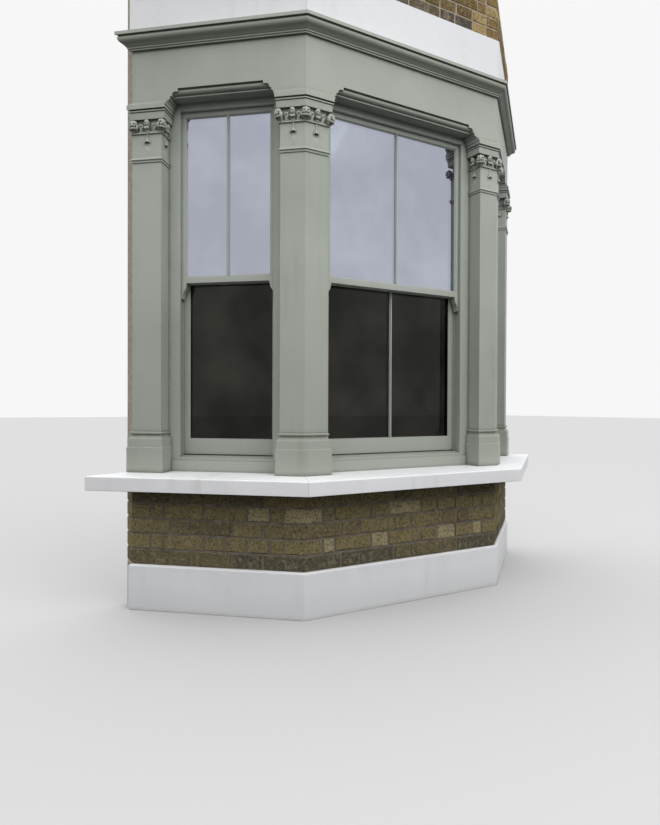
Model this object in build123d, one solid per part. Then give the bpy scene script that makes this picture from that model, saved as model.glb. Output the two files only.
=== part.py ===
from build123d import *
import math
import os

# Ground-floor canted bay window. Millimetres, Z up, front towards -Y.
# While the pieces are made, the plane that the bay stands out from is Y = 0 and the stone sill top is Z = 0.

# plan, taken on the face of the frieze
front_width = 1324.0
projection = 620.0
cant_angle = 40.6
wall_thickness = 230.0
wall_bond = 112.0

# heights, from the ground up
plinth_height = 245.0
base_course = 82.0
base_courses = 5
sill_thickness = 85.0
pier_height = 1935.0
frieze_height = 315.0
cornice_height = 88.0
band_height = 255.0
upper_course = 66.0
upper_courses = 4

# piers
corner_face = 133.0
wall_face = 166.0
reveal = 100.0
rebate = 25.0
base_front = 20.0
base_side = 18.0
abacus_front = 15.0
abacus_side = 25.0
lip_front = 20.0
lip_side = 27.0
lip_height = 24.0
lip_weathering = 20.0
lip_step = 18.0

# stone sill
sill_reach = 158.0
sill_fall = 10.0
seat_front = 24.0

# rendered work stands proud of the face by this much
band_proud = 10.0
plinth_proud = 14.0

# window openings and box frames
head_rise = 101.0
soffit_rise = 62.0
frame_head = 46.0
pulley_inset = 48.0
lining_inset = 63.0
lining_thickness = 20.0
bead_inset = 58.0
bead_thickness = 8.0
cill_height = 84.0
cill_nose = 8.0

# sashes
sash_thickness = 41.0
sash_play = 1.5
stile_width = 41.5
top_rail = 47.5
meeting_rail = 40.0
bottom_rail = 94.0
rail_gap = 6.0
meeting_height = 1030.0
bar_width = 18.0
bar_web = 6.0
glass_thickness = 4.0
glass_rebate = 8.0
putty_depth = 12.5
putty_width = 8.0
horn_drop = 84.0

cant = math.radians(cant_angle)
mitre = math.tan(cant / 2)
half_front = front_width / 2
side_length = projection / math.sin(cant)
wall_x = half_front + projection / math.tan(cant)
plinth_top = -sill_thickness - base_courses * base_course
ground = plinth_top - plinth_height
frieze_top = pier_height + frieze_height
cornice_top = frieze_top + cornice_height
band_top = cornice_top + band_height
upper_top = band_top + upper_courses * upper_course
soffit_height = pier_height + soffit_rise
frame_top = soffit_height + rebate
frame_head_height = frame_top - frame_head
jamb_back = (wall_thickness * math.cos(cant) - wall_bond) / math.sin(cant)

# the finished part stands on Z = 0 with the middle of its plan at X = Y = 0
front_reach = projection + sill_reach
shift = Location((0, (front_reach - wall_bond) / 2, -ground))

# each face has its own axes: distance along the face, height, distance out from the frieze
side_axes = Plane(
    origin=(-wall_x, 0, 0),
    x_dir=(math.cos(cant), -math.sin(cant), 0),
    z_dir=(-math.sin(cant), -math.cos(cant), 0),
).location
front_axes = Plane(origin=(-half_front, -projection, 0), x_dir=(1, 0, 0), z_dir=(0, -1, 0)).location


def on_side(along, out):
    return (
        -wall_x + along * math.cos(cant) - out * math.sin(cant),
        -along * math.sin(cant) - out * math.cos(cant),
    )


def on_front(along, out):
    return (-half_front + along, -projection - out)


def joined(lines):
    return make_face([edge for line in lines for edge in line.edges()])


def column(points, bottom, top):
    outline = make_face(Polyline(*points, close=True))
    return Pos(0, 0, bottom) * extrude(outline, amount=top - bottom, dir=(0, 0, 1))


def tapered(points_below, bottom, points_above, top):
    below = Pos(0, 0, bottom) * make_face(Polyline(*points_below, close=True))
    above = Pos(0, 0, top) * make_face(Polyline(*points_above, close=True))
    return loft([below, above], ruled=True)


def block(along, height, out):
    size = (along[1] - along[0], height[1] - height[0], out[1] - out[0])
    middle = ((along[0] + along[1]) / 2, (height[0] + height[1]) / 2, (out[0] + out[1]) / 2)
    return Pos(*middle) * Box(*size)


def run(outline, start, end):
    section = Plane(origin=(end, 0, 0), x_dir=(0, 0, 1), z_dir=(-1, 0, 0))
    lines = outline if isinstance(outline, list) else [outline]
    return extrude(section * joined(lines), amount=end - start, dir=(-1, 0, 0))


# the piece of each face that lies between the mitres, and between toothed end and mitre
far = sill_reach + 90
deep = wall_thickness + 70
low_end = ground - 100
high_end = upper_top + 100
front_zone = column(
    [
        on_front(-far * mitre, far),
        on_front(front_width + far * mitre, far),
        on_front(front_width - deep * mitre, -deep),
        on_front(deep * mitre, -deep),
    ],
    low_end,
    high_end,
)
inner_corner = on_front(deep * mitre, -deep)
side_zone = column(
    [
        (-wall_x - 1.05 * far / math.sin(cant), 0),
        on_front(-far * mitre, far),
        inner_corner,
        (inner_corner[0], wall_bond),
        (-wall_x, wall_bond),
        (-wall_x, 0),
    ],
    low_end,
    high_end,
)


def front_run(outline):
    return (front_axes * run(outline, -400, front_width + 400)) & front_zone


def side_run(outline):
    return (side_axes * run(outline, -700, side_length + 400)) & side_zone


def ring(outline):
    return {"left": side_run(outline), "front": front_run(outline)}


def slab(bottom, top, out=0.0):
    return Polyline(
        (out, bottom), (out, top), (-wall_thickness, top), (-wall_thickness, bottom), close=True
    )


pieces = {}


def keep(name, shape):
    solids = shape.solids()
    pieces[name] = solids[0] if len(solids) == 1 else Compound(children=list(solids))


def keep_pair(name, shape):
    keep("left_" + name, shape)
    keep("right_" + name, mirror(shape, about=Plane.YZ))


def keep_ring(name, shapes):
    keep_pair(name, shapes["left"])
    keep("front_" + name, shapes["front"])


# one rendered plinth round the foot of the bay, brick dwarf wall and the stone sill on it
plinth_edge = 8.0
plinth_outline = Polyline(
    (plinth_proud, ground),
    (plinth_proud, plinth_top - plinth_edge),
    (plinth_proud - plinth_edge, plinth_top),
    (-wall_thickness, plinth_top),
    (-wall_thickness, ground),
    close=True,
)
plinth = ring(plinth_outline)
keep("rendered_plinth", plinth["left"] + plinth["front"] + mirror(plinth["left"], about=Plane.YZ))
keep_ring("brick_base", ring(slab(plinth_top, -sill_thickness)))

sill_outline = Polyline(
    (seat_front, 0),
    (sill_reach - 4, -sill_fall),
    (sill_reach, -sill_fall - 4),
    (sill_reach, -sill_thickness),
    (sill_reach - 14, -sill_thickness),
    (sill_reach - 14, -sill_thickness + 8),
    (sill_reach - 24, -sill_thickness + 8),
    (sill_reach - 24, -sill_thickness),
    (-wall_thickness, -sill_thickness),
    (-wall_thickness, 0),
    close=True,
)
keep_ring("stone_sill", ring(sill_outline))


# piers: plan outlines that can stand forward and widen into the opening
def corner_plan(forward, widen):
    side_edge = side_length - corner_face
    return [
        on_front(-forward * mitre, forward),
        on_side(side_edge - widen, forward),
        on_side(side_edge - widen, -reveal),
        on_side(side_edge + rebate, -reveal),
        on_side(side_edge + rebate, -wall_thickness),
        on_front(wall_thickness * mitre, -wall_thickness),
        on_front(corner_face - rebate, -wall_thickness),
        on_front(corner_face - rebate, -reveal),
        on_front(corner_face + widen, -reveal),
        on_front(corner_face + widen, forward),
    ]


def wall_plan(forward, widen):
    return [
        on_side(-forward / math.tan(cant), forward),
        on_side(wall_face + widen, forward),
        on_side(wall_face + widen, -reveal),
        on_side(wall_face - rebate, -reveal),
        on_side(wall_face - rebate, -wall_thickness),
        on_side(jamb_back, -wall_thickness),
        (-wall_x, wall_bond),
        (-wall_x, 0),
    ]


def stack(plan, levels):
    shape = None
    for (bottom, front_a, side_a), (top, front_b, side_b) in zip(levels, levels[1:]):
        if top == bottom:
            continue
        if (front_a, side_a) == (front_b, side_b):
            layer = column(plan(front_a, side_a), bottom, top)
        else:
            layer = tapered(plan(front_a, side_a), bottom, plan(front_b, side_b), top)
        shape = layer if shape is None else shape + layer
    return shape


# each level is height, distance forward of the frieze, distance into the opening
block_top = 133.0
splay_bottom = 179.0
splay_top = 194.0
cove_top = 206.0
base_height = 220.0
base_levels = [
    (0, base_front, base_side),
    (block_top, base_front, base_side),
    (block_top + 4, base_front - 3, base_side - 3),
    (splay_bottom, base_front - 3, base_side - 3),
    (splay_top, 3, 2),
    (splay_top + 2, 1, 1),
    (cove_top, 1, 1),
    (cove_top, 8, 7),
    (base_height - 4, 9, 8),
    (base_height, 3, 2),
]
capital_height = 280.0
necking = 30.0
neck_fillet = 13.0
field_height = 121.0
ledge = 16.0
bell_height = 61.0
bell_depth = 7.0
neck_bottom = pier_height - capital_height
neck_top = neck_bottom + necking
band_bottom = neck_top + field_height
ledge_top = band_bottom + ledge
abacus_bottom = ledge_top + bell_height
fascia_top = pier_height - 17
shaft_levels = [(base_height, 0.01, 0), (neck_bottom, 0.01, 0)]
capital_levels = [
    (neck_bottom, 4, 4),
    (neck_bottom + neck_fillet, 4, 4),
    (neck_bottom + neck_fillet, 9, 8),
    (neck_bottom + neck_fillet + 3, 9, 8),
    (neck_top, 1, 1),
    (band_bottom, 1, 1),
    (band_bottom, 8, 8),
    (band_bottom + 3, 8, 8),
    (ledge_top, 0.01, 0),
    (ledge_top, -bell_depth, -bell_depth),
    (abacus_bottom, -bell_depth, -bell_depth),
    (abacus_bottom, abacus_front - 7, abacus_side - 5),
    (fascia_top, abacus_front - 4, abacus_side - 3),
    (fascia_top, abacus_front - 7, abacus_side - 6),
    (fascia_top + 3, abacus_front - 7, abacus_side - 6),
    (fascia_top + 3, abacus_front, abacus_side),
    (pier_height - 6, abacus_front, abacus_side),
    (pier_height - 6, abacus_front - 7, abacus_side - 7),
    (pier_height, abacus_front - 7, abacus_side - 7),
]
for name, plan in (("corner", corner_plan), ("wall", wall_plan)):
    keep_pair(name + "_pier_base", stack(plan, base_levels))
    keep_pair(name + "_pier_shaft", stack(plan, shaft_levels))
    keep_pair(name + "_capital", stack(plan, capital_levels))


# shouldered opening through the frieze: outline in distance along and height
def shouldered(first, last):
    head = pier_height + head_rise

    def step(edge, sign, u, v):
        return (edge + sign * u, pier_height + v)

    left = [step(first, 1, u, v) for u, v in shoulder]
    right = [step(last, -1, u, v) for u, v in shoulder]
    lines = [
        Polyline((left[0][0], pier_height - 50), left[0], left[1], left[2]),
        ThreePointArc(left[2], left[3], left[4]),
        Polyline(left[4], left[5], left[6]),
        ThreePointArc(left[6], left[7], left[8]),
        Polyline(left[8], left[9], (left[9][0], head), (right[9][0], head), right[9], right[8]),
        ThreePointArc(right[8], right[7], right[6]),
        Polyline(right[6], right[5], right[4]),
        ThreePointArc(right[4], right[3], right[2]),
        Polyline(right[2], right[1], right[0], (right[0][0], pier_height - 50)),
        Line((right[0][0], pier_height - 50), (left[0][0], pier_height - 50)),
    ]
    return joined(lines)


shoulder = [
    (lip_side, 0),
    (lip_side, lip_step),
    (lip_side + 4, lip_step),
    (35, 37),
    (49, 50),
    (49, soffit_rise),
    (59, soffit_rise),
    (62.5, 77),
    (73, 85),
    (93, 85),
]
head_top = pier_height + head_rise
moulding = [
    Polyline((0, head_top), (-13, head_top), (-13, head_top - 8), (-9, head_top - 9)),
    ThreePointArc((-9, head_top - 9), (-12.5, soffit_height + 17), (-25, soffit_height + 9)),
    Polyline(
        (-25, soffit_height + 9),
        (-31, soffit_height + 10),
        (-31, soffit_height + 8),
        (-27, soffit_height + 8),
        (-27, soffit_height),
        (-reveal, soffit_height),
        (-reveal, head_top + 40),
        (0, head_top + 40),
        (0, head_top),
    ),
]


# weathered lip at the foot of the frieze, over each pier as far as the opening
lip_outline = Polyline(
    (lip_front, pier_height),
    (lip_front, pier_height + lip_height),
    (0, pier_height + lip_height + lip_weathering),
    (-5, pier_height + lip_height + lip_weathering),
    (-5, pier_height),
    close=True,
)


def entablature(body, axes, zone, first, last, lips):
    for start, end in lips:
        body += (axes * run(lip_outline, start, end)) & zone
    opening = extrude(shouldered(first, last), amount=reveal + 40, both=True)
    opening &= block((first - 50, last + 50), (0, frieze_top), (-reveal, 40))
    head = run(moulding, first, last) & opening
    recess = block(
        (first - rebate, last + rebate), (pier_height - 50, frame_top), (-wall_thickness - 5, -reveal)
    )
    return body - axes * opening - axes * recess + axes * head


side_window = (wall_face, side_length - corner_face)
front_window = (corner_face, front_width - corner_face)
frieze = ring(slab(pier_height, frieze_top))
side_lips = [(-400, wall_face + 60), (side_window[1] - 60, side_length + 200)]
front_lips = [(-200, corner_face + 60), (front_window[1] - 60, front_width + 200)]
keep_pair("frieze", entablature(frieze["left"], side_axes, side_zone, *side_window, side_lips))
keep("front_frieze", entablature(frieze["front"], front_axes, front_zone, *front_window, front_lips))

# moulded cornice, mitred round the bay
cornice_outline = [
    Polyline(
        (-wall_thickness, frieze_top),
        (13, frieze_top),
        (13, frieze_top + 7),
        (19, frieze_top + 9),
        (19, frieze_top + 16),
        (22, frieze_top + 17),
    ),
    ThreePointArc((22, frieze_top + 17), (30.5, frieze_top + 26), (41, frieze_top + 33)),
    ThreePointArc((41, frieze_top + 33), (50.5, frieze_top + 44), (53, frieze_top + 58)),
    Polyline(
        (53, frieze_top + 58),
        (49, frieze_top + 58),
        (49, frieze_top + 66),
        (61, frieze_top + 66),
        (61, cornice_top - 4),
        (band_proud, cornice_top),
        (-wall_thickness, cornice_top),
        (-wall_thickness, frieze_top),
    ),
]
keep_ring("cornice", ring(cornice_outline))

# rendered band and the brickwork over it
keep_ring("rendered_band", ring(slab(cornice_top, band_top, band_proud)))
keep_ring("upper_brickwork", ring(slab(band_top, upper_top)))


# inner boards that close the hollow of the bay overhead
def inner_plan(gap):
    depth = wall_thickness + gap
    left = [on_side((depth * math.cos(cant) - wall_bond) / math.sin(cant), -depth)]
    left.append(on_front(depth * mitre, -depth))
    right = [(-x, y) for x, y in reversed(left)]
    return left + right


ceiling_thickness = 25.0
deck_thickness = 50.0
keep("ceiling", column(inner_plan(0), frieze_top - ceiling_thickness, frieze_top))
keep("deck", column(inner_plan(0), upper_top - deck_thickness, upper_top))


# box frame, two sliding sashes and their glass, in the axes of one face
def box_frame(first, last):
    low = first + pulley_inset
    high = last - pulley_inset
    back = -wall_thickness
    frame = block((first - rebate, low), (0, frame_top), (back, -reveal))
    frame += block((high, last + rebate), (0, frame_top), (back, -reveal))
    frame += block((low, high), (frame_head_height, frame_top), (back, -reveal))
    beads = (
        (lining_inset, lining_thickness, -reveal),
        (bead_inset, bead_thickness, -reveal - lining_thickness - sash_thickness - 2),
        (bead_inset, 16, back + 16),
    )
    for inset, thickness, face in beads:
        depth = (face - thickness, face)
        reach = inset - pulley_inset
        frame += block((low, low + reach), (0, frame_head_height), depth)
        frame += block((high - reach, high), (0, frame_head_height), depth)
        frame += block((low, high), (frame_head_height - reach, frame_head_height), depth)
    cill = Polyline(
        (-reveal, 0),
        (-reveal, cill_height - 8),
        (-reveal - lining_thickness - sash_thickness - 10, cill_height),
        (back, cill_height),
        (back, 0),
        close=True,
    )
    nose = Polyline(
        (-reveal + cill_nose, 0),
        (-reveal + cill_nose, 56),
        (-reveal + cill_nose - 3, 59),
        (-reveal, 59),
        (-reveal, 0),
        close=True,
    )
    frame += run(cill, first - rebate, last + rebate)
    frame += run(nose, first + base_side, last - base_side)
    return frame


def horn(edge, sign):
    def point(u, v):
        return (edge + sign * u, meeting_height + v)

    tip = stile_width - 23.5
    waist = stile_width - 13.5
    shoulder_edge = stile_width - 3
    lines = [
        Polyline(point(stile_width, 1), point(0, 1), point(0, -horn_drop + 3), point(tip, -horn_drop)),
        ThreePointArc(
            point(tip, -horn_drop), point(tip + 2, -horn_drop + 22), point(waist, -horn_drop + 40)
        ),
        ThreePointArc(
            point(waist, -horn_drop + 40),
            point(waist + 8, -horn_drop + 52),
            point(shoulder_edge, -horn_drop + 68),
        ),
        Polyline(point(shoulder_edge, -horn_drop + 68), point(stile_width, -horn_drop + 68)),
        Line(point(stile_width, -horn_drop + 68), point(stile_width, 1)),
    ]
    return joined(lines)


def corners(along, height):
    return [
        (along[0], height[0]),
        (along[1], height[0]),
        (along[1], height[1]),
        (along[0], height[1]),
    ]


# daylight of one pane: straight behind the glass, widening in front of it where the putty slopes
def daylight(along, height, putty, back, face, outer):
    wide = (along[0] - putty[0], along[1] + putty[1])
    tall = (height[0] - putty_width, height[1] + putty_width)
    slope = tapered(corners(along, height), face, corners(wide, tall), outer)
    return block(along, height, (back - 5, face)), slope


def sash(first, last, bottom, top, rails, outer, bars, horns=False):
    low = first + pulley_inset + sash_play
    high = last - pulley_inset - sash_play
    depth = (outer - sash_thickness, outer)
    sill_rail, head_rail = rails
    face = outer - putty_depth
    sight = (low + stile_width, high - stile_width)
    height = (bottom + sill_rail, top - head_rail)
    middle = (low + high) / 2
    panes = [sight]
    putty = [(putty_width, putty_width)]
    if bars:
        at_bar = (bar_width - bar_web) / 2
        panes = [(sight[0], middle - bar_width / 2), (middle + bar_width / 2, sight[1])]
        putty = [(putty_width, at_bar), (at_bar, putty_width)]
    body = block((low, high), (bottom, top), depth)
    if horns:
        for edge, sign in ((low, 1), (high, -1)):
            tail = extrude(horn(edge, sign), amount=sash_thickness, dir=(0, 0, 1))
            body += Pos(0, 0, depth[0]) * tail
    glass = None
    for pane, sides in zip(panes, putty):
        straight, slope = daylight(pane, height, sides, depth[0], face, outer)
        body = body - straight - slope
        sheet = block(
            (pane[0] - sides[0], pane[1] + sides[1]),
            (height[0] - glass_rebate, height[1] + glass_rebate),
            (face - glass_thickness, face),
        )
        glass = sheet if glass is None else glass + sheet
    return body - glass, glass


def window(first, last, bars_below):
    outer = -reveal - lining_thickness - 1
    inner = outer - sash_thickness - bead_thickness - 2
    meet = (outer - sash_thickness + inner) / 2
    sash_top = frame_head_height - sash_play
    upper, upper_glass = sash(
        first, last, meeting_height, sash_top, (meeting_rail, top_rail), outer, True, horns=True
    )
    lower, lower_glass = sash(
        first,
        last,
        cill_height,
        meeting_height + meeting_rail - 2,
        (bottom_rail, meeting_rail),
        inner,
        bars_below,
    )
    lower -= block((first, last), (cill_height - 1, cill_height + rail_gap), (inner - 12, inner + 1))
    clear = (first + bead_inset + 2, last - bead_inset - 2)
    upper += block(clear, (meeting_height, meeting_height + 38), (meet, outer - sash_thickness))
    lower += block(clear, (meeting_height, meeting_height + 38), (inner, meet))
    return {
        "box_frame": box_frame(first, last),
        "upper_sash": upper,
        "lower_sash": lower,
        "glass": upper_glass + lower_glass,
    }


for name, shape in window(*side_window, bars_below=False).items():
    keep_pair(name, side_axes * shape)
for name, shape in window(*front_window, bars_below=True).items():
    keep("front_" + name, front_axes * shape)

os.makedirs("parts", exist_ok=True)
for name, shape in pieces.items():
    placed = shift * shape
    placed.label = name
    export_step(placed, "parts/" + name + ".step")
    print(name, len(placed.solids()), round(placed.volume / 1e9, 4))
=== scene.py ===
import bpy
import bmesh
import math
import random
from mathutils import Matrix, Vector


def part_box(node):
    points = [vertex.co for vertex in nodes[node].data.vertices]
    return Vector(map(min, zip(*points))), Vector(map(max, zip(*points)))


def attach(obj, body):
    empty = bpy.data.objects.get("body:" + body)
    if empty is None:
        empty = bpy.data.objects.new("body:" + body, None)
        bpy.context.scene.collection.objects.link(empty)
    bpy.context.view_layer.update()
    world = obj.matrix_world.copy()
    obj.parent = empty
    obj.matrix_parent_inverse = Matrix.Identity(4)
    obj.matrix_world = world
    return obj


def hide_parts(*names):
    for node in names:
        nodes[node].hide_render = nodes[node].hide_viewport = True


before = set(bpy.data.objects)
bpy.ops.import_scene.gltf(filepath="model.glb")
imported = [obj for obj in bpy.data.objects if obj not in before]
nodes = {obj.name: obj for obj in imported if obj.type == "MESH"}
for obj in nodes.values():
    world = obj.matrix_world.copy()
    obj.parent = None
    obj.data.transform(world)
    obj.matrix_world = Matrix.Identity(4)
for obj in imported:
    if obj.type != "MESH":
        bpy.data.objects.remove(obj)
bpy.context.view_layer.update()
scene = bpy.context.scene
scene.view_settings.view_transform = "Standard"

# the camera is in front and to the left of the bay, a little over a metre up
photoCamera = {
    "place": (-2.162, -3.144, 1.097),
    "turn": 30.0,
    "tilt": -0.55,
    "roll": 0.21,
    "lens": 27.54,
    "sensor": 36,
}


def setCamera(look):
    turn, tilt, roll = (math.radians(look[key]) for key in ("turn", "tilt", "roll"))
    ahead = Vector((math.sin(turn) * math.cos(tilt), math.cos(turn) * math.cos(tilt), math.sin(tilt)))
    across = Vector((math.cos(turn), -math.sin(turn), 0))
    above = across.cross(ahead)
    right = math.cos(roll) * across + math.sin(roll) * above
    up = math.cos(roll) * above - math.sin(roll) * across
    camera = bpy.data.objects.new("camera", bpy.data.cameras.new("camera"))
    scene.collection.objects.link(camera)
    turned = Matrix((right, up, -ahead)).transposed().to_4x4()
    camera.matrix_world = Matrix.Translation(look["place"]) @ turned
    camera.data.sensor_width = look["sensor"]
    camera.data.lens = look["lens"]
    scene.camera = camera


setCamera(photoCamera)
print("camera set")

# soft daylight, dim low down and bright overhead; each stop has its height, from -1 to 1
light = {
    "sky": (
        (-0.02, (0.02, 0.02, 0.015)),
        (0.0, (0.31, 0.305, 0.265)),
        (0.18, (0.50, 0.495, 0.47)),
        (0.32, (1.15, 1.15, 1.15)),
        (1.0, (2.42, 2.42, 2.44)),
    ),
    "lampPlace": (0.2, -3.9, 4.7),
    "lampAim": (0, 0, 1.8),
    "lampSize": 3.5,
    "lampPower": 77,
    "background": 0.93,
    "floor": 0.42,
    "floorBounce": 0.05,
    "floorSize": 60,
}


def put(tree, kind, sockets=None, **settings):
    node = tree.nodes.new("ShaderNode" + kind)
    for name, value in settings.items():
        setattr(node, name, value)
    for name, value in (sockets or {}).items():
        if isinstance(value, bpy.types.NodeSocket):
            tree.links.new(value, node.inputs[name])
        else:
            node.inputs[name].default_value = value
    return node


def combine(tree, first, second, kind="MULTIPLY"):
    return put(tree, "Math", {0: first, 1: second}, operation=kind).outputs[0]


def between(tree, value, low, high, newLow=0.0, newHigh=1.0):
    return put(tree, "MapRange", {0: value, 1: low, 2: high, 3: newLow, 4: newHigh}).outputs[0]


def grey(level):
    return (level, level, level, 1)


def blendColours(tree, share, first, second):
    mix = put(tree, "Mix", data_type="RGBA")
    for socket, value in ((mix.inputs[0], share), (mix.inputs[6], first), (mix.inputs[7], second)):
        if isinstance(value, bpy.types.NodeSocket):
            tree.links.new(value, socket)
        else:
            socket.default_value = (*value, 1) if isinstance(value, tuple) else value
    return mix.outputs[2]


# the camera, glass and glossy surfaces meet the plain background; all other rays meet the light
def splitByRay(tree, lit, shown, output):
    rays = put(tree, "LightPath").outputs
    seen = combine(tree, rays["Is Camera Ray"], rays["Is Transmission Ray"], "MAXIMUM")
    seen = combine(tree, seen, rays["Is Glossy Ray"], "MAXIMUM")
    both = put(tree, "MixShader", {0: seen, 1: lit.outputs[0], 2: shown.outputs[0]})
    tree.links.new(both.outputs[0], put(tree, output).inputs[0])


def addSky():
    world = bpy.data.worlds.new("sky")
    scene.world = world
    world.use_nodes = True
    tree = world.node_tree
    tree.nodes.clear()
    height = put(tree, "SeparateXYZ", {0: put(tree, "TexCoord").outputs["Generated"]}).outputs["Z"]
    ramp = put(tree, "ValToRGB", {0: between(tree, height, -1, 1)})
    stops = ramp.color_ramp.elements
    while len(stops) < len(light["sky"]):
        stops.new(0.9)
    for stop, (up, level) in zip(stops, light["sky"]):
        stop.position = 0.5 + up / 2
        stop.color = (*level, 1)
    lit = put(tree, "Background", {0: ramp.outputs[0]})
    shown = put(tree, "Background", {0: grey(light["background"])})
    splitByRay(tree, lit, shown, "OutputWorld")


def addLamp():
    lamp = bpy.data.objects.new("lamp", bpy.data.lights.new("lamp", "AREA"))
    lamp.data.shape = "DISK"
    lamp.data.size = light["lampSize"]
    lamp.data.energy = light["lampPower"]
    lamp.location = light["lampPlace"]
    lamp.rotation_euler = (Vector(light["lampAim"]) - lamp.location).to_track_quat("-Z", "Y").to_euler()
    lamp.visible_glossy = False
    scene.collection.objects.link(lamp)


def addFloor():
    bm = bmesh.new()
    bmesh.ops.create_grid(bm, x_segments=1, y_segments=1, size=light["floorSize"])
    floor = bpy.data.objects.new("floor", bpy.data.meshes.new("floor"))
    bm.to_mesh(floor.data)
    bm.free()
    scene.collection.objects.link(floor)
    material = bpy.data.materials.new("pale_floor")
    material.use_nodes = True
    tree = material.node_tree
    tree.nodes.clear()
    pale = put(tree, "BsdfDiffuse", {0: grey(light["floor"])})
    dull = put(tree, "BsdfDiffuse", {0: grey(light["floorBounce"])})
    splitByRay(tree, dull, pale, "OutputMaterial")
    floor.data.materials.append(material)


addSky()
addLamp()
addFloor()
print("light and floor set")

# plan of the bay, read from the frame: the ends are toothed in by wallBond
wallBond = 0.112
wallThickness = 0.230
frontLow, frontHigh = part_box("front_brick_base")
sideLow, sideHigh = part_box("left_brick_base")
halfFront = frontHigh.x
faceY = frontLow.y
wallX = -sideLow.x
wallY = sideHigh.y - wallBond
backY = wallY + wallBond
cant = math.atan2(wallY - faceY, wallX - halfFront)
sideLength = (wallY - faceY) / math.sin(cant)


# one face of the bay: where it starts on plan, the way along it and the way out of it
class Face:
    def __init__(self, start, along, out, length):
        self.start = Vector((*start, 0))
        self.along = Vector((*along, 0))
        self.out = Vector((*out, 0))
        self.length = length

    def at(self, along, out, height):
        return self.start + self.along * along + self.out * out + Vector((0, 0, height))

    def matrix(self):
        axes = Matrix((self.along, self.out, Vector((0, 0, 1)))).transposed().to_4x4()
        return Matrix.Translation(self.start) @ axes


leanX, leanY = math.cos(cant), math.sin(cant)
faces = {
    "left": Face((-wallX, wallY), (leanX, -leanY), (-leanY, -leanX), sideLength),
    "front": Face((-halfFront, faceY), (1, 0), (0, -1), 2 * halfFront),
    "right": Face((halfFront, faceY), (leanX, leanY), (leanY, -leanX), sideLength),
}


def newMaterial(name):
    material = bpy.data.materials.new(name)
    material.use_nodes = True
    tree = material.node_tree
    tree.nodes.clear()
    shader = put(tree, "BsdfPrincipled")
    tree.links.new(shader.outputs[0], put(tree, "OutputMaterial").inputs[0])
    return material, tree, shader


def noiseOn(tree, scale, detail=3, rough=0.5, stretch=(1, 1, 1)):
    place = put(tree, "TexCoord").outputs["Object"]
    if stretch != (1, 1, 1):
        place = put(tree, "Mapping", {"Vector": place, "Scale": stretch}).outputs[0]
    texture = put(tree, "TexNoise", {"Vector": place, "Scale": scale, "Detail": detail, "Roughness": rough})
    return texture.outputs["Fac"]


def addBump(tree, shader, height, strength, distance):
    bump = put(tree, "Bump", {"Strength": strength, "Distance": distance, "Height": height})
    tree.links.new(bump.outputs[0], shader.inputs["Normal"])


# the plaster inside and the bare ends of the toothing: each sets in at the first distance short
# of its face, in metres, and is full at the second
plaster = {
    "colour": (0.70, 0.68, 0.64),
    "dirt": (0.45, 0.42, 0.37),
    "clean": 0.78,
    "short": (0.004, 0.002),
}
bareMortar = {
    "colour": (0.36, 0.33, 0.27),
    "dirt": (0.24, 0.21, 0.17),
    "rough": 0.95,
    "short": (0.0015, 0.0005),
}


# share of a surface on the inside: it lies a wall's thickness behind the nearest outer face
def insideShare(tree):
    place = put(tree, "TexCoord").outputs["Object"]
    nearest = None
    for face in faces.values():
        along = put(tree, "VectorMath", {0: place, 1: face.out}, operation="DOT_PRODUCT").outputs["Value"]
        depth = combine(tree, face.start.dot(face.out), along, "SUBTRACT")
        nearest = depth if nearest is None else combine(tree, nearest, depth, "MINIMUM")
    start, full = plaster["short"]
    return between(tree, nearest, wallThickness - start, wallThickness - full)


# share of a surface on the ends and backs of the toothing
def bondShare(tree):
    place = put(tree, "SeparateXYZ", {0: put(tree, "TexCoord").outputs["Object"]})
    far, near = bareMortar["short"]
    ahead = between(tree, place.outputs["Y"], wallY + near, wallY + far)
    back = between(tree, place.outputs["Y"], backY - far, backY - near)
    aside = put(tree, "Math", {0: place.outputs["X"]}, operation="ABSOLUTE").outputs[0]
    end = between(tree, aside, wallX - far, wallX - near)
    return combine(tree, ahead, combine(tree, end, back, "MAXIMUM"))


# grime, painted shade, painted highlight and surface of every paint that doesn't say otherwise; each is
# given by its strength
plainPaint = {
    "streaks": 0.25,  # of rain
    "darkerBelow": None,  # foot, top and strength of a darkening towards the bottom
    # how far the painted shade in corners reaches, in metres
    "cornerReach": 0.03,
    "dust": 0.2,  # on what faces up
    "undersideShade": 0,  # painted shade on what faces down
    "raisedHighlightAndHollowShade": 0,  # painted highlight on raised parts and painted shade in hollows
    "brushed": False,
    "inside": True,  # plaster behind it and bare mortar at the toothing
    "specular": 0.35,
    "roughSpread": (-0.06, 0.08),
    "bump": 0.5,
    "broadBump": 2.5,  # weight of broad unevenness beside the fine one
}
sageStone = {
    **plainPaint,
    "colour": (0.352, 0.380, 0.338),
    "light": (0.400, 0.425, 0.382),
    "grimeAndShadeColour": (0.105, 0.108, 0.078),
    "rough": 0.60,
    "grain": 0.0005,
    "darkerBelow": (0.74, 1.9, 0.25),
    "corners": 0.85,
    "dust": 0.4,
    "undersideShade": 0.5,
}
# the carving's paint: deeper painted shade in its recesses and painted highlights on its raised parts
sageCarving = {
    **sageStone,
    "raisedHighlightColour": (0.520, 0.545, 0.490),
    "streaks": 0.1,
    "darkerBelow": None,
    "corners": 0.95,
    "cornerReach": 0.014,
    "dust": 0,
    "undersideShade": 0,
    "raisedHighlightAndHollowShade": 0.8,
    "inside": False,
}
sageWood = {
    **plainPaint,
    "colour": (0.385, 0.412, 0.370),
    "light": (0.425, 0.450, 0.408),
    "grimeAndShadeColour": (0.098, 0.100, 0.075),
    "rough": 0.48,
    "grain": 0.00025,
    "streaks": 0.12,
    "darkerBelow": (0.74, 1.9, 0.30),
    "corners": 0.5,
    "cornerReach": 0.02,
    "brushed": True,
    "inside": False,
}
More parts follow.
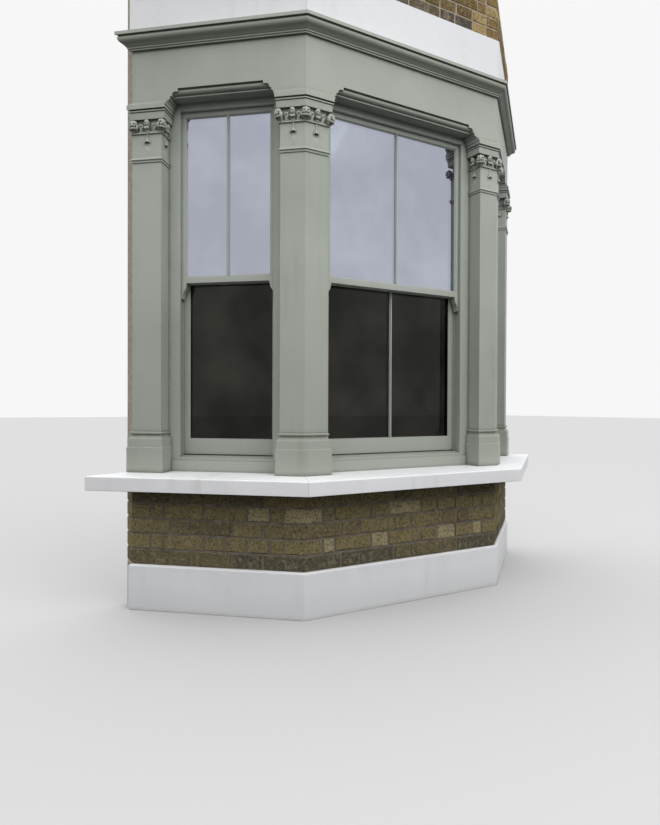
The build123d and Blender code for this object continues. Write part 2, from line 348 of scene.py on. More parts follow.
whiteRender = {
    **plainPaint,
    "colour": (0.695, 0.708, 0.735),
    "light": (0.745, 0.758, 0.780),
    "grimeAndShadeColour": (0.300, 0.290, 0.250),
    "rough": 0.62,
    "grain": 0.0009,
    "streaks": 0.16,
    "darkerBelow": (0, 0.16, 0.22),
    "corners": 0.35,
}
whiteSill = {
    **plainPaint,
    "colour": (0.715, 0.720, 0.740),
    "light": (0.770, 0.775, 0.790),
    "grimeAndShadeColour": (0.250, 0.255, 0.210),
    "rough": 0.52,
    "grain": 0.0007,
    "streaks": 0.3,
    "corners": 0.4,
    "dust": 0.14,
}

# scale, detail, roughness and stretch of each noise in the paint
paintNoise = {
    "cloud": (2.2, 5, 0.55),
    "streak": (9, 4, 0.6, (1, 1, 0.07)),
    "patch": (3.1, 3, 0.5),
    "speck": (160, 3, 0.6),
    # the corner noise makes the painted shade in corners uneven
    "corner": (24,),
    "gloss": (14, 4),
    "mortar": (34, 5, 0.65),
    "fine": (420, 2, 0.6),
    "broad": (26, 3, 0.5),
}
brushStretch = (1, 1, 0.12)


def rainStreaks(tree, look):
    streak = between(tree, noiseOn(tree, *paintNoise["streak"]), 0.52, 0.75)
    patch = between(tree, noiseOn(tree, *paintNoise["patch"]), 0.42, 0.66)
    return combine(tree, combine(tree, streak, patch), look["streaks"])


# the paint grows darker towards the bottom: full strength at the foot, none at the top
def darkeningTowardsBottom(tree, look, cloud):
    foot, top, strength = look["darkerBelow"]
    height = put(tree, "SeparateXYZ", {0: put(tree, "TexCoord").outputs["Object"]}).outputs["Z"]
    fading = between(tree, height, foot, top, strength, 0)
    return combine(tree, fading, between(tree, cloud, 0.3, 0.7, 0.75, 1.1))


# painted shade: where ambient occlusion finds a corner or recess, the paint is darkened, a little unevenly
def paintedCornerShade(tree, look):
    shade = put(tree, "AmbientOcclusion", {"Distance": look["cornerReach"]}, samples=6)
    uneven = between(tree, noiseOn(tree, *paintNoise["corner"]), 0, 1, -0.12, 0.12)
    return between(tree, combine(tree, shade.outputs["AO"], uneven, "ADD"), 0.42, 0.92, look["corners"], 0)


# each share of grime and of painted shade that lies on the paint, in the order in which they are laid
def dirtAndShadeShares(tree, look, cloud):
    shares = [rainStreaks(tree, look)]
    if look["darkerBelow"]:
        shares.append(darkeningTowardsBottom(tree, look, cloud))
    shares.append(between(tree, noiseOn(tree, *paintNoise["speck"]), 0.63, 0.74, 0, 0.35))
    shares.append(paintedCornerShade(tree, look))
    facing = put(tree, "SeparateXYZ", {0: put(tree, "NewGeometry").outputs["Normal"]}).outputs["Z"]
    settled = between(tree, facing, 0.25, 0.8, 0, look["dust"])
    shares.append(combine(tree, settled, between(tree, cloud, 0.3, 0.7, 0.7, 1.2)))
    # what faces down is painted darker, as shade
    if look["undersideShade"]:
        shares.append(between(tree, facing, -0.1, -0.7, 0, look["undersideShade"]))
    return shares


# paint on stone, timber or render: a little uneven, with painted shade in corners and on what faces down,
# and dirty in rain streaks
def paintMaterial(name, look):
    material, tree, shader = newMaterial(name)
    cloud = noiseOn(tree, *paintNoise["cloud"])
    colour = blendColours(tree, between(tree, cloud, 0.35, 0.68), look["colour"], look["light"])
    # the same dark colour lays both the grime and the painted shade
    for share in dirtAndShadeShares(tree, look, cloud):
        colour = blendColours(tree, share, colour, look["grimeAndShadeColour"])
    least, most = (look["rough"] + spread for spread in look["roughSpread"])
    rough = between(tree, noiseOn(tree, *paintNoise["gloss"]), 0.3, 0.7, least, most)
    if look["inside"]:
        wall = blendColours(tree, between(tree, cloud, 0.4, 0.75), plaster["colour"], plaster["dirt"])
        wall = blendColours(tree, plaster["clean"], wall, plaster["colour"])
        colour = blendColours(tree, insideShare(tree), colour, wall)
        mottle = between(tree, noiseOn(tree, *paintNoise["mortar"]), 0.4, 0.66)
        bare = blendColours(tree, mottle, bareMortar["colour"], bareMortar["dirt"])
        bond = bondShare(tree)
        colour = blendColours(tree, bond, colour, bare)
        rough = combine(tree, rough, combine(tree, bond, bareMortar["rough"]), "MAXIMUM")
    # raised parts are painted lighter as a highlight, hollows darker as shade
    if look["raisedHighlightAndHollowShade"]:
        shape = put(tree, "NewGeometry").outputs["Pointiness"]
        colour = blendColours(tree, between(tree, shape, 0.51, 0.56, 0, look["raisedHighlightAndHollowShade"]), colour, look["raisedHighlightColour"])
        colour = blendColours(tree, between(tree, shape, 0.49, 0.44, 0, look["raisedHighlightAndHollowShade"]), colour, look["grimeAndShadeColour"])
    tree.links.new(colour, shader.inputs["Base Color"])
    tree.links.new(rough, shader.inputs["Roughness"])
    shader.inputs["Specular IOR Level"].default_value = look["specular"]
    fine = noiseOn(tree, *paintNoise["fine"], brushStretch if look["brushed"] else (1, 1, 1))
    broad = combine(tree, noiseOn(tree, *paintNoise["broad"]), look["broadBump"])
    addBump(tree, shader, combine(tree, fine, broad, "ADD"), look["bump"], look["grain"])
    return material


# old window glass: the upper panes gleam with a painted sky reflection, a lavender reflection tint on glass
# that mirrors far more than glass does, with faint clouds in its colour; the lower ones are painted near
# black as shade and mirror little
glassLook = {
    "upper": {
        "colour": (0.05, 0.055, 0.07),
        "cloud": (0.15, 0.165, 0.20),
        "paintedReflectionTint": (0.80, 0.85, 1.0),
        "ior": 5.2,
    },
    "lower": {
        "colour": (0.004, 0.004, 0.004),
        "cloud": (0.022, 0.021, 0.017),
        "paintedReflectionTint": (1.0, 1.0, 0.9),
        "ior": 1.3,
    },
    "rough": 0.01,
    "reflectedCloudNoise": (3, 3),
    "waves": (2.5, 1),
    "bump": 0.12,
    "waveHeight": 0.002,
    "meetingRail": 1.78,  # metres above the ground
}


def glassMaterial(name, look):
    material, tree, shader = newMaterial(name)
    # the clouds in the colour stand for clouds in the painted sky reflection
    cloud = between(tree, noiseOn(tree, *glassLook["reflectedCloudNoise"]), 0.4, 0.7)
    colour = blendColours(tree, cloud, look["colour"], look["cloud"])
    tree.links.new(colour, shader.inputs["Base Color"])
    shader.inputs["Roughness"].default_value = glassLook["rough"]
    shader.inputs["IOR"].default_value = look["ior"]
    # the reflection tint paints the colour of the sky into the reflection
    shader.inputs["Specular Tint"].default_value = (*look["paintedReflectionTint"], 1)
    shader.inputs["Transmission Weight"].default_value = 1.0
    waves = noiseOn(tree, *glassLook["waves"])
    addBump(tree, shader, waves, glassLook["bump"], glassLook["waveHeight"])
    return material


# scale, detail and roughness of each noise on a brick, the scale of its pits, and its surface
brickFinish = {
    "blotch": (38, 5, 0.62),
    "smear": (17, 6, 0.7),
    "soot": (85, 4, 0.75),
    "grit": (130, 5, 0.7),
    "pits": 210,
    "pitDarkening": 0.35,
    "pitDepth": 0.5,
    "smearShare": 0.6,
    "rough": 0.92,
    "specular": 0.2,
    "bump": 0.8,
    "relief": 0.0022,
}

# stock brick: each brick carries its own tone, dark ones first
yellowBrick = {
    "tones": ((0.072, 0.066, 0.058), (0.115, 0.097, 0.072), (0.120, 0.080, 0.030), (0.155, 0.105, 0.039),
              (0.215, 0.145, 0.056), (0.290, 0.202, 0.080), (0.370, 0.270, 0.118), (0.430, 0.340, 0.185)),
    "fleck": (0.44, 0.35, 0.20),
    "smear": (0.25, 0.205, 0.145),
    "soot": (0.040, 0.033, 0.022),
    "sootShare": 0.75,
}
dullBrick = {
    "tones": ((0.062, 0.056, 0.044), (0.096, 0.084, 0.057), (0.136, 0.112, 0.062), (0.168, 0.136, 0.071),
              (0.205, 0.168, 0.081), (0.265, 0.218, 0.112), (0.345, 0.292, 0.165), (0.330, 0.318, 0.205)),
    "fleck": (0.33, 0.29, 0.17),
    "smear": (0.150, 0.132, 0.100),
    "soot": (0.026, 0.025, 0.018),
    "sootShare": 0.7,
}


def brickMaterial(name, look):
    material, tree, shader = newMaterial(name)
    tone = put(tree, "Attribute", attribute_name="tone").outputs["Fac"]
    ramp = put(tree, "ValToRGB", {0: tone})
    ramp.color_ramp.interpolation = "CONSTANT"
    stops = ramp.color_ramp.elements
    for index, rgb in enumerate(look["tones"]):
        stop = stops[index] if index < 2 else stops.new(0.5)
        stop.position = index / len(look["tones"])
        stop.color = (*rgb, 1)
    blotch = noiseOn(tree, *brickFinish["blotch"])
    lightened = blendColours(tree, 0.5, ramp.outputs[0], look["fleck"])
    colour = blendColours(tree, between(tree, blotch, 0.5, 0.68), ramp.outputs[0], lightened)
    smear = between(tree, noiseOn(tree, *brickFinish["smear"]), 0.54, 0.66, 0, brickFinish["smearShare"])
    colour = blendColours(tree, smear, colour, look["smear"])
    soot = between(tree, noiseOn(tree, *brickFinish["soot"]), 0.48, 0.62, 0, look["sootShare"])
    colour = blendColours(tree, soot, colour, look["soot"])
    place = put(tree, "TexCoord").outputs["Object"]
    pits = put(tree, "TexVoronoi", {"Vector": place, "Scale": brickFinish["pits"]})
    pit = between(tree, pits.outputs["Distance"], 0.05, 0.3, 1, 0)
    # pits are painted darker
    colour = blendColours(tree, combine(tree, pit, brickFinish["pitDarkening"]), colour, look["soot"])
    tree.links.new(colour, shader.inputs["Base Color"])
    shader.inputs["Roughness"].default_value = brickFinish["rough"]
    shader.inputs["Specular IOR Level"].default_value = brickFinish["specular"]
    pitted = combine(tree, pit, -brickFinish["pitDepth"])
    grit = combine(tree, noiseOn(tree, *brickFinish["grit"]), pitted, "ADD")
    addBump(tree, shader, grit, brickFinish["bump"], brickFinish["relief"])
    return material


paleMortar = {"colour": (0.40, 0.345, 0.27), "dirt": (0.28, 0.23, 0.17)}
dullMortar = {"colour": (0.200, 0.172, 0.135), "dirt": (0.105, 0.095, 0.075)}
mortarFinish = {
    "stain": (30, 5, 0.65),
    "grit": (260, 4, 0.7),
    "rough": 0.95,
    "specular": 0.2,
    "bump": 0.9,
    "relief": 0.002,
}


def mortarMaterial(name, look):
    material, tree, shader = newMaterial(name)
    stain = between(tree, noiseOn(tree, *mortarFinish["stain"]), 0.35, 0.68)
    colour = blendColours(tree, stain, look["colour"], look["dirt"])
    colour = blendColours(tree, insideShare(tree), colour, plaster["colour"])
    tree.links.new(colour, shader.inputs["Base Color"])
    shader.inputs["Roughness"].default_value = mortarFinish["rough"]
    shader.inputs["Specular IOR Level"].default_value = mortarFinish["specular"]
    grit = noiseOn(tree, *mortarFinish["grit"])
    addBump(tree, shader, grit, mortarFinish["bump"], mortarFinish["relief"])
    return material


boards = {
    "pale": (0.33, 0.28, 0.21),
    "dark": (0.19, 0.155, 0.11),
    "old": (0.20, 0.185, 0.16),
    "grain": (22, 6, 0.65, (1, 0.06, 1)),
    "fibre": (160, 3, 0.6, (1, 0.03, 1)),
    "fibreShare": 0.4,
    "rough": 0.8,
    "bump": 0.6,
    "relief": 0.001,
}


def boardMaterial():
    material, tree, shader = newMaterial("deck_boards")
    grain = noiseOn(tree, *boards["grain"])
    fibre = noiseOn(tree, *boards["fibre"])
    lines = combine(tree, grain, combine(tree, fibre, boards["fibreShare"]), "ADD")
    colour = blendColours(tree, between(tree, lines, 0.5, 0.95), boards["pale"], boards["dark"])
    tone = put(tree, "Attribute", attribute_name="tone").outputs["Fac"]
    colour = blendColours(tree, tone, colour, boards["old"])
    tree.links.new(colour, shader.inputs["Base Color"])
    shader.inputs["Roughness"].default_value = boards["rough"]
    addBump(tree, shader, fibre, boards["bump"], boards["relief"])
    return material


materials = {
    "stone": paintMaterial("sage_paint_on_stone", sageStone),
    "carving": paintMaterial("sage_paint_on_carving", sageCarving),
    "wood": paintMaterial("sage_paint_on_timber", sageWood),
    "render": paintMaterial("white_paint_on_render", whiteRender),
    "sill": paintMaterial("white_paint_on_sill", whiteSill),
    "paintedSkyReflectionGlass": glassMaterial("upper_glass_painted_sky_reflection", glassLook["upper"]),
    "paintedDarkGlass": glassMaterial("lower_glass_painted_dark", glassLook["lower"]),
    "yellowBrick": brickMaterial("yellow_stock_brick", yellowBrick),
    "dullBrick": brickMaterial("weathered_stock_brick", dullBrick),
    "paleMortar": mortarMaterial("pale_lime_mortar", paleMortar),
    "dullMortar": mortarMaterial("grey_lime_mortar", dullMortar),
    "boards": boardMaterial(),
}
print("materials made")


# how a frame node is cleaned and rounded: angles in degrees, lengths in metres
finish = {
    "weld": 0.00002,
    "flatWithin": 0.5,
    "segments": 2,
    "roundFrom": 32,
    "sharpFrom": 48,
    "edges": {"stone": 0.0016, "cornice": 0.0008, "render": 0.003, "sill": 0.003, "wood": 0.0012},
    "forked": ("upper_sash", "wall_capital", "wall_pier_base"),  # flat faces that fork aren't joined
}


# shading that is smooth over rounded edges and sharp at real ones
def shadingNodes(limit):
    group = bpy.data.node_groups.new("clean_shading", "GeometryNodeTree")
    group.interface.new_socket("Geometry", in_out="INPUT", socket_type="NodeSocketGeometry")
    group.interface.new_socket("Geometry", in_out="OUTPUT", socket_type="NodeSocketGeometry")
    start = group.nodes.new("NodeGroupInput")
    end = group.nodes.new("NodeGroupOutput")
    angle = group.nodes.new("GeometryNodeInputMeshEdgeAngle")
    sharp = group.nodes.new("FunctionNodeCompare")
    sharp.inputs[1].default_value = limit
    normal = group.nodes.new("GeometryNodeSetMeshNormal")
    normal.mode = "SHARPNESS"
    group.links.new(angle.outputs["Unsigned Angle"], sharp.inputs[0])
    group.links.new(start.outputs[0], normal.inputs["Mesh"])
    group.links.new(sharp.outputs[0], normal.inputs["Edge Sharpness"])
    group.links.new(normal.outputs[0], end.inputs[0])
    return group


cleanShading = shadingNodes(math.radians(finish["sharpFrom"]))


def shadeCleanly(piece):
    piece.modifiers.new("shading", "NODES").node_group = cleanShading
    weighted = piece.modifiers.new("weighted", "WEIGHTED_NORMAL")
    weighted.keep_sharp = True


# a frame node keeps its mesh: its triangles are joined and its edges rounded by modifiers
def finishNode(name, material, edge):
    keepsTriangles = any(kind in name for kind in finish["forked"])
    piece = nodes[name]
    piece.data.materials.clear()
    piece.data.materials.append(material)
    weld = piece.modifiers.new("weld", "WELD")
    weld.merge_threshold = finish["weld"]
    if not keepsTriangles:
        flat = piece.modifiers.new("flat", "DECIMATE")
        flat.decimate_type = "DISSOLVE"
        flat.angle_limit = math.radians(finish["flatWithin"])
    rounding = piece.modifiers.new("edges", "BEVEL")
    rounding.width = finish["edges"][edge]
    rounding.segments = finish["segments"]
    rounding.limit_method = "ANGLE"
    rounding.angle_limit = math.radians(finish["roundFrom"])
    rounding.use_clamp_overlap = not keepsTriangles
    shadeCleanly(piece)


# each glass node holds upper and lower panes
def finishGlass(name):
    piece = nodes[name]
    piece.data.materials.clear()
    piece.data.materials.append(materials["paintedDarkGlass"])
    piece.data.materials.append(materials["paintedSkyReflectionGlass"])
    for face in piece.data.polygons:
        # panes above the meeting rail get the painted sky reflection, those below the painted dark
        face.material_index = 1 if (piece.matrix_world @ face.center).z > glassLook["meetingRail"] else 0


for name in nodes:
    if "glass" in name:
        finishGlass(name)
    elif "sash" in name or "frame" in name:
        finishNode(name, materials["wood"], "wood")
    elif "rendered" in name or name == "ceiling":
        finishNode(name, materials["render"], "render")
    elif "sill" in name:
        finishNode(name, materials["sill"], "sill")
    elif name == "deck":
        finishNode(name, materials["boards"], "wood")
    elif "cornice" in name:
        finishNode(name, materials["stone"], "cornice")
    elif "brick" not in name:
        finishNode(name, materials["stone"], "stone")
print("frame nodes finished")


def newPiece(name, bm, pieceMaterials, replaced=()):
    piece = bpy.data.objects.new(name, bpy.data.meshes.new(name))
    bm.to_mesh(piece.data)
    bm.free()
    for material in pieceMaterials:
        piece.data.materials.append(material)
    scene.collection.objects.link(piece)
    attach(piece, "root")
    if replaced:
        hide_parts(*replaced)


def joinMesh(whole, part, name):
    mesh = bpy.data.meshes.new(name)
    part.to_mesh(mesh)
    part.free()
    whole.from_mesh(mesh)
    bpy.data.meshes.remove(mesh)


def cutOff(bm, point, normal):
    geometry = list(bm.verts) + list(bm.edges) + list(bm.faces)
    bmesh.ops.bisect_plane(bm, geom=geometry, plane_co=point, plane_no=normal, clear_outer=True)
    rim = [edge for edge in bm.edges if edge.is_boundary]
    if rim:
        bmesh.ops.edgeloop_fill(bm, edges=rim)


def bevelEdges(bm, edges, offset):
    bmesh.ops.bevel(bm, geom=edges, offset=offset, segments=2, affect="EDGES", profile=0.5, material=-1)


# walls of real bricks, a course at a time, on a core of mortar
brickwork = {
    "stretcher": 0.215,
    "header": 0.102,
    "smallest": 0.045,
    "edge": 0.0035,
    "unevenPlace": 0.0012,
    "unevenTurn": 0.004,
    "coreIn": 0.004,
    "overrun": 0.13,  # the first and last brick of a course go this far past the face, then are cut
    "topTone": 0.999,
}

# bricks next to the corners, corner first, and the range of tones, for each course from the bottom
upperWall = {
    "material": "yellowBrick",
    "mortar": "paleMortar",
    "joint": 0.009,
    "recess": 0.003,
    "ends": ((0.088, 0.102), (0.088, 0.102), (0.088, 0.060), (0.088, 0.102)),
    "tones": ((0.0, 0.2), (0.25, 0.62), (0.12, 0.5), (0.3, 1.0)),
    "endTones": (0.63, 1.0),
    "uneven": 0.0016,
    "seed": 21,
}
baseWall = {
    "material": "dullBrick",
    "mortar": "dullMortar",
    "joint": 0.013,
    "recess": 0.004,
    "ends": ((0.215,), (0.102, 0.060), (0.215,), (0.102, 0.060), (0.215,)),
    "tones": ((0.12, 0.4), (0.66, 1.0), (0.35, 0.75), (0.5, 0.9), (0.2, 0.55)),
    "endTones": None,
    "uneven": 0.0034,
    "seed": 11,
}


def courseLengths(total, ends, order, joint):
    left = total - 2 * (sum(ends) + len(ends) * joint)
    lengths = []
    while True:
        length = brickwork["header"] if order % 2 else brickwork["stretcher"]
        if left < length + joint + brickwork["smallest"]:
            break
        lengths.append(length)
        left -= length + joint
        order += 1
    if left > brickwork["stretcher"]:
        half = (left - joint) / 2
        lengths += [half, half]
    else:
        lengths.append(left)
    return [*ends, *lengths, *reversed(ends)]


def addBrick(wall, face, start, length, low, high, draw, cuts, level, uneven):
    bm = bmesh.new()
    tone = bm.faces.layers.float.new("tone")
    depth = brickwork["header"]
    bmesh.ops.create_cube(bm, size=1)
    bmesh.ops.scale(bm, verts=bm.verts, vec=(length, depth, high - low))
    bevelEdges(bm, list(bm.edges), brickwork["edge"])
    for vert in bm.verts:
        vert.co += Vector([draw.uniform(-uneven, uneven) / 2 for _ in range(3)])
    if not cuts:
        turn = brickwork["unevenTurn"]
        for axis in "ZY":
            matrix = Matrix.Rotation(draw.uniform(-turn, turn), 3, axis)
            bmesh.ops.rotate(bm, verts=bm.verts, matrix=matrix)
        place = brickwork["unevenPlace"]
        bmesh.ops.translate(bm, verts=bm.verts, vec=[draw.uniform(-place, place) for _ in range(3)])
    middle = Vector((start + length / 2, -depth / 2, (low + high) / 2))
    bmesh.ops.transform(bm, verts=bm.verts, matrix=face.matrix() @ Matrix.Translation(middle))
    for point, normal in cuts:
        cutOff(bm, point, normal)
    for item in bm.faces:
        item[tone] = level
    joinMesh(wall, bm, "brick")


# the planes that end the bricks of a face: mitres at the corners, toothed ends at the sides
def endCuts(side):
    face = faces[side]
    order = list(faces)
    place = order.index(side)
    cuts = []
    if place > 0:
        before = faces[order[place - 1]]
        cuts.append((face.start, -(before.along + face.along)))
    if place < len(order) - 1:
        after = faces[order[place + 1]]
        cuts.append((after.start, after.along + face.along))
    if side != "front":
        way = -1 if side == "left" else 1
        cuts.append((Vector((way * wallX, 0, 0)), Vector((way, 0, 0))))
        cuts.append((Vector((0, backY, 0)), Vector((0, 1, 0))))
    return cuts


def mortarCore(node, face, recess):
    core = bmesh.new()
    core.from_mesh(nodes[node].data)
    bmesh.ops.remove_doubles(core, verts=core.verts, dist=finish["weld"])
    cutOff(core, face.start - face.out * recess, face.out)
    cutOff(core, Vector((0, backY - brickwork["coreIn"], 0)), Vector((0, 1, 0)))
    for end in (-1, 1):
        cutOff(core, Vector((end * (wallX - brickwork["coreIn"]), 0, 0)), Vector((end, 0, 0)))
    return core


def brickWall(node, side, look):
    face = faces[side]
    low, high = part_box(node)
    joint = look["joint"]
    rise = (high.z - low.z) / len(look["ends"])
    wall = bmesh.new()
    wall.faces.layers.float.new("tone")
    firstCorner = list(faces).index(side)
    draw = random.Random(look["seed"] + firstCorner)
    cuts = endCuts(side)
    for course, ends in enumerate(look["ends"]):
        lengths = courseLengths(face.length, ends, course + 1, joint)
        bottom = low.z + course * rise + joint / 2
        start = 0.0
        for index, length in enumerate(lengths):
            atStart, atEnd = index == 0, index == len(lengths) - 1
            corner = firstCorner + (1 if atEnd else 0)
            # the two halves of a brick that turns the corner are alike
            turning = random.Random(100 * corner + course) if atStart or atEnd else draw
            nearEnd = index < len(ends) or index >= len(lengths) - len(ends)
            tones = look["endTones"] if nearEnd and look["endTones"] else look["tones"][course]
            level = min(turning.uniform(*tones), brickwork["topTone"])
            before = brickwork["overrun"] if atStart else 0
            after = brickwork["overrun"] if atEnd else 0
            addBrick(wall, face, start - before, length + before + after, bottom, bottom + rise - joint,
                     draw, cuts if atStart or atEnd else (), level, look["uneven"])
            start += length + joint
    bricks = set(wall.faces)
    joinMesh(wall, mortarCore(node, face, look["recess"]), "core")
    for item in wall.faces:
        item.material_index = 0 if item in bricks else 1
    pair = [materials[look["material"]], materials[look["mortar"]]]
    newPiece(node + "_bricks", wall, pair, (node,))


for side in faces:
    brickWall(side + "_brick_base", side, baseWall)
    brickWall(side + "_upper_brickwork", side, upperWall)
print("brickwork laid")

# the carved caps: curled leaves, each made of rounded lumps that run together
# a lump is its middle and its half sizes across, up and out from the face, in millimetres;
# a lump off the middle has a twin on the other side, and a rib is a chain of points with a thickness;
# an eye is its place, width and depth, and the hollow under a leaf its place, width and depth
leaves = {
    "bud": {
        "lumps": (
            ((0, -14, -5), (13, 24, 10)),
            ((0, 0, 2), (20, 27, 13)),
            ((0, 16, 13), (22, 16, 15)),
            ((0, 6, 22), (15, 15, 10)),
            ((0, -14, 25), (7.5, 5.5, 8)),
            ((12, -12, 21), (8, 6, 9)),
            ((20, -2, 9), (8, 15, 10)),
        ),
        "ribs": (
            ((0, 29, 19, 3.5), (0, 18, 30, 4.0), (0, 2, 33.5, 3.5)),
            ((17, -20, 5, 4.0), (19, 4, 7, 4.5), (15, 24, 14, 4.5), (14, 14, 27, 4.5), (13, -2, 28, 3.5)),
        ),
        "eyes": (((12, 11), 4.4, 11), ((5, -4), 2.6, 4)),
        "hollow": ((0, -24, 12), 13, 9),
    },
    "slimBud": {
        "lumps": (
            ((0, 19, 8), (14, 17, 14)),
            ((0, 0, 4), (10, 14, 10)),
            ((7, -9, 11), (8, 8, 10)),
            ((0, -13, 16), (5, 6, 6)),
            ((0, -22, 1), (11, 14, 8)),
        ),
        "ribs": (
            ((0, 33, 12, 3.0), (0, 22, 21, 3.2), (0, 6, 17, 3.0)),
            ((11, 4, 4, 3.0), (12, 18, 10, 3.5), (6, 30, 14, 3.5)),
        ),
        "eyes": (((6, 15), 3.2, 6), ((5, -1), 3.2, 6)),
        "hollow": ((0, -22, 9), 9, 7),
    },
    "curl": {
        "lumps": (
            ((0, -23, -3), (13, 10, 8)),
            ((0, -12, 0), (10, 12, 8)),
            ((0, -1, 2), (10, 10, 8)),
        ),
        "ribs": (
            (
                (-9, -29, -1, 4.0), (4, -15, 4, 4.5), (10, -3, 6, 4.5),
                (7, 7, 9, 4.5), (-3, 8, 10, 4.5), (-7, 0, 9, 4.0),
            ),
        ),
        "eyes": (((0, 1), 3.4, 7),),
        "hollow": None,
    },
    "pendant": {
        "lumps": (
            ((0, 8, 1), (9, 8, 10)),
            ((10, -3, 3), (7, 8, 9)),
            ((0, -4, 11), (7, 9, 6)),
        ),
        "ribs": (((0, 52, 1, 4.8), (0, 26, 1.5, 4.3), (0, 8, 3, 5.0)),),
        "eyes": (),
        "hollow": ((0, -11, 6), 12, 16),
    },
}

# where each leaf grows: its face, the way along that face, how far behind it, where it points (along
# the face and out of it) and its height, in millimetres; a corner pier is measured from its corner
budHeight = 2585
pendantHeight = 2500
turnHalf = math.tan(cant / 2)
cornerLeaves = (
    ("bud", "left", 0, 0, (turnHalf, 1), budHeight - 2),
    ("bud", "left", -133, 0, (-1, 1), budHeight),
    ("bud", "front", 133, 0, (1, 1), budHeight - 6),
    ("slimBud", "left", -67, 0, (0, 1), budHeight),
    ("slimBud", "front", 66, 0, (0, 1), budHeight),
    ("slimBud", "left", -133, 60, (-1, 0), budHeight),
    ("slimBud", "front", 133, 60, (1, 0), budHeight),
    ("curl", "left", -101, 0, (0, 1), budHeight),
    ("curl", "left", -36, 0, (0, 1), budHeight),
    ("curl", "front", 34, 0, (0, 1), budHeight),
    ("curl", "front", 98, 0, (0, 1), budHeight),
    ("pendant", "left", -64, 0, (0, 1), pendantHeight + 3),
    ("pendant", "front", 60, 0, (0, 1), pendantHeight - 4),
    ("pendant", "left", -133, 47, (-1, 0), pendantHeight),
    ("pendant", "front", 133, 47, (1, 0), pendantHeight),
)
wallLeaves = (
    ("bud", "left", 12, 0, (0, 1), budHeight),
    ("bud", "left", 166, 0, (1, 1), budHeight),
    ("slimBud", "left", 87, 0, (0, 1), budHeight),
    ("slimBud", "left", 166, 60, (1, 0), budHeight),
    ("curl", "left", 51, 0, (0, 1), budHeight),
    ("curl", "left", 126, 0, (0, 1), budHeight),
    ("pendant", "left", 89, 0, (0, 1), pendantHeight + 5),
    ("pendant", "left", 166, 47, (1, 0), pendantHeight),
)
carving = {
    "lumpDetail": 3,
    "ribDetail": 2,
    "step": 2.5,  # between the lumps along a rib
    "voxel": 0.0015,
    "smooth": 3,
    "smoothing": 0.5,
    "lines": (-8, 0, 8),
    "lineTop": -22,
    "lineFoot": -74,
    "lineWidth": 1.9,
    "lineTaper": 0.6,
    "lineSides": 8,
}


def leafFrame(side, start, way, depth, pointing, height):
    face = faces[side]
    out = (face.along * pointing[0] + face.out * pointing[1]).normalized()
    up = Vector((0, 0, 1))
    axes = Matrix((up.cross(out), up, out)).transposed().to_4x4()
    place = face.at(start + way / 1000, -depth / 1000, height / 1000)
    return Matrix.Translation(place) @ axes @ Matrix.Scale(0.001, 4)


def twins(across):
    return (1, -1) if across else (1,)


def addLeaf(caps, leaf, place):
    bm = bmesh.new()
    fine = carving["ribDetail"]
    for (across, up, out), sizes in leaf["lumps"]:
        for twin in twins(across):
            matrix = place @ Matrix.Translation((twin * across, up, out)) @ Matrix.Diagonal((*sizes, 1))
            bmesh.ops.create_icosphere(bm, subdivisions=carving["lumpDetail"], radius=1, matrix=matrix)
    for rib in leaf["ribs"]:
        for twin in twins(leaf is not leaves["curl"] and any(point[0] for point in rib)):
            for first, second in zip(rib, rib[1:]):
                reach = (Vector(second[:3]) - Vector(first[:3])).length
                count = max(2, math.ceil(reach / carving["step"]))
                for index in range(count + 1):
                    across, up, out, thick = Vector(first).lerp(Vector(second), index / count)
                    matrix = place @ Matrix.Translation((twin * across, up, out)) @ Matrix.Scale(thick, 4)
                    bmesh.ops.create_icosphere(bm, subdivisions=fine, radius=1, matrix=matrix)
    joinMesh(caps, bm, "leaf")


# what a leaf's holes can reach, in its own millimetres, and how steep their sides are
drill = {
    "ball": 0.003,  # square of the reach, in square metres
    "aside": 45,
    "behind": -12,
    "ahead": 45,
    "eyeReach": 1.6,
    "eyeSlope": 2.2,
    "eyeFrom": 6,
    "hollowReach": 1.4,
    "hollowSlope": 2.0,
    "hollowTop": 14,
}


# eyes are drilled straight in, and the underside of a leaf is hollow
def drillLeaf(bm, leaf, place):
    back = place.inverted()
    middle = place.translation
    for vert in bm.verts:
        if (vert.co - middle).length_squared > drill["ball"]:
            continue
        spot = back @ vert.co
        if max(abs(spot.x), abs(spot.y)) > drill["aside"] or not drill["behind"] < spot.z < drill["ahead"]:
            continue
        push = Vector()
        for (across, up), wide, deep in leaf["eyes"]:
            for twin in twins(across):
                away = math.hypot(spot.x - twin * across, spot.y - up) / wide
                if away < drill["eyeReach"] and spot.z > drill["eyeFrom"]:
                    push.z -= deep * math.exp(-drill["eyeSlope"] * away * away)
        if leaf["hollow"]:
            (across, up, out), wide, deep = leaf["hollow"]
            away = math.hypot(spot.x - across, spot.z - out) / wide
            if away < drill["hollowReach"] and spot.y < up + drill["hollowTop"]:
                push.y += deep * math.exp(-drill["hollowSlope"] * away * away)
        if push.length:
            vert.co = place @ (spot + push)


# lumps that touch run together into one skin
def remeshed(bm, voxel):
    mesh = bpy.data.meshes.new("lumps")
    bm.to_mesh(mesh)
    bm.free()
    lumps = bpy.data.objects.new("lumps", mesh)
    scene.collection.objects.link(lumps)
    skin = lumps.modifiers.new("skin", "REMESH")
    skin.mode = "VOXEL"
    skin.voxel_size = voxel
    result = bpy.data.meshes.new_from_object(lumps.evaluated_get(bpy.context.evaluated_depsgraph_get()))
    bpy.data.objects.remove(lumps)
    joined = bmesh.new()
    joined.from_mesh(result)
    for used in (mesh, result):
        bpy.data.meshes.remove(used)
    return joined


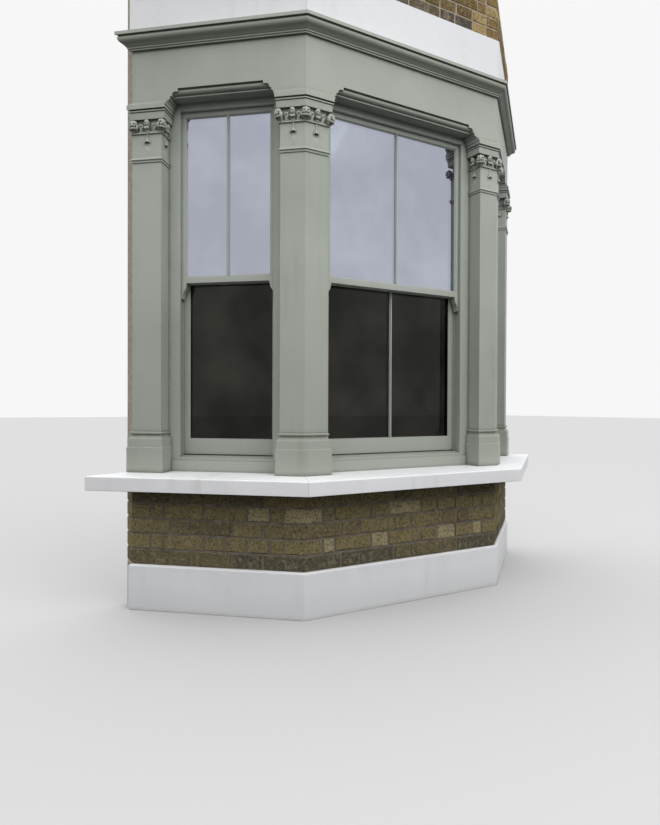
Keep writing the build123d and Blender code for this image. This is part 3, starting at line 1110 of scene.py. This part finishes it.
# three fine lines under a pendant: thin rods, half sunk in the face
def addLines(bm, place):
    tall = carving["lineTop"] - carving["lineFoot"]
    upright = Matrix.Rotation(math.pi / 2, 4, "X")
    for across in carving["lines"]:
        middle = Matrix.Translation((across, carving["lineTop"] - tall / 2, 0)) @ upright
        bmesh.ops.create_cone(bm, cap_ends=True, segments=carving["lineSides"],
                              radius1=carving["lineWidth"],
                              radius2=carving["lineWidth"] * carving["lineTaper"],
                              depth=tall, matrix=place @ middle)


# a cap is carved on the left, and its mirror image is the one on the right
def carveCap(name, growth, start):
    bm = bmesh.new()
    places = [(leaves[kind], leafFrame(side, start[side], *spot)) for kind, side, *spot in growth]
    for leaf, place in places:
        addLeaf(bm, leaf, place)
    bm = remeshed(bm, carving["voxel"])
    for leaf, place in places:
        drillLeaf(bm, leaf, place)
    for _ in range(carving["smooth"]):
        bmesh.ops.smooth_vert(bm, verts=bm.verts, factor=carving["smoothing"],
                              use_axis_x=True, use_axis_y=True, use_axis_z=True)
    cutOff(bm, Vector((0, wallY, 0)), Vector((0, 1, 0)))
    for leaf, place in places:
        if leaf is leaves["pendant"]:
            addLines(bm, place)
    for item in bm.faces:
        item.smooth = True
    other = bm.copy()
    bmesh.ops.scale(other, verts=other.verts, vec=(-1, 1, 1))
    for side, cap in (("left", bm), ("right", other)):
        bmesh.ops.recalc_face_normals(cap, faces=cap.faces)
        newPiece(side + name, cap, [materials["carving"]])


carveCap("_corner_capital_carving", cornerLeaves, {"left": sideLength, "front": 0})
carveCap("_wall_capital_carving", wallLeaves, {"left": 0})
print("caps carved")

# the deck is laid in boards side by side
deckLook = {
    "board": 0.145,
    "gap": 0.003,
    "edge": 0.0015,
    "flat": 0.01,
    "sharp": 0.6,
    "tones": (0.05, 0.6),
    "seed": 31,
}


def layDeck():
    low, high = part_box("deck")
    count = round((high.x - low.x) / deckLook["board"])
    wide = (high.x - low.x) / count
    planks = bmesh.new()
    planks.faces.layers.float.new("tone")
    draw = random.Random(deckLook["seed"])
    for index in range(count):
        board = bmesh.new()
        board.from_mesh(nodes["deck"].data)
        bmesh.ops.remove_doubles(board, verts=board.verts, dist=finish["weld"])
        bmesh.ops.dissolve_limit(board, angle_limit=deckLook["flat"], verts=board.verts,
                                 edges=board.edges)
        left = low.x + index * wide + deckLook["gap"] / 2
        right = low.x + (index + 1) * wide - deckLook["gap"] / 2
        if index:
            cutOff(board, Vector((left, 0, 0)), Vector((-1, 0, 0)))
        if index < count - 1:
            cutOff(board, Vector((right, 0, 0)), Vector((1, 0, 0)))
        joined = [edge for edge in board.edges if len(edge.link_faces) == 2]
        sharp = [edge for edge in joined if edge.calc_face_angle() > deckLook["sharp"]]
        bevelEdges(board, sharp, deckLook["edge"])
        tone = board.faces.layers.float.new("tone")
        level = draw.uniform(*deckLook["tones"])
        for item in board.faces:
            item[tone] = level
        joinMesh(planks, board, "board")
    newPiece("deck_planks", planks, [materials["boards"]], ("deck",))


layDeck()
print("deck laid")
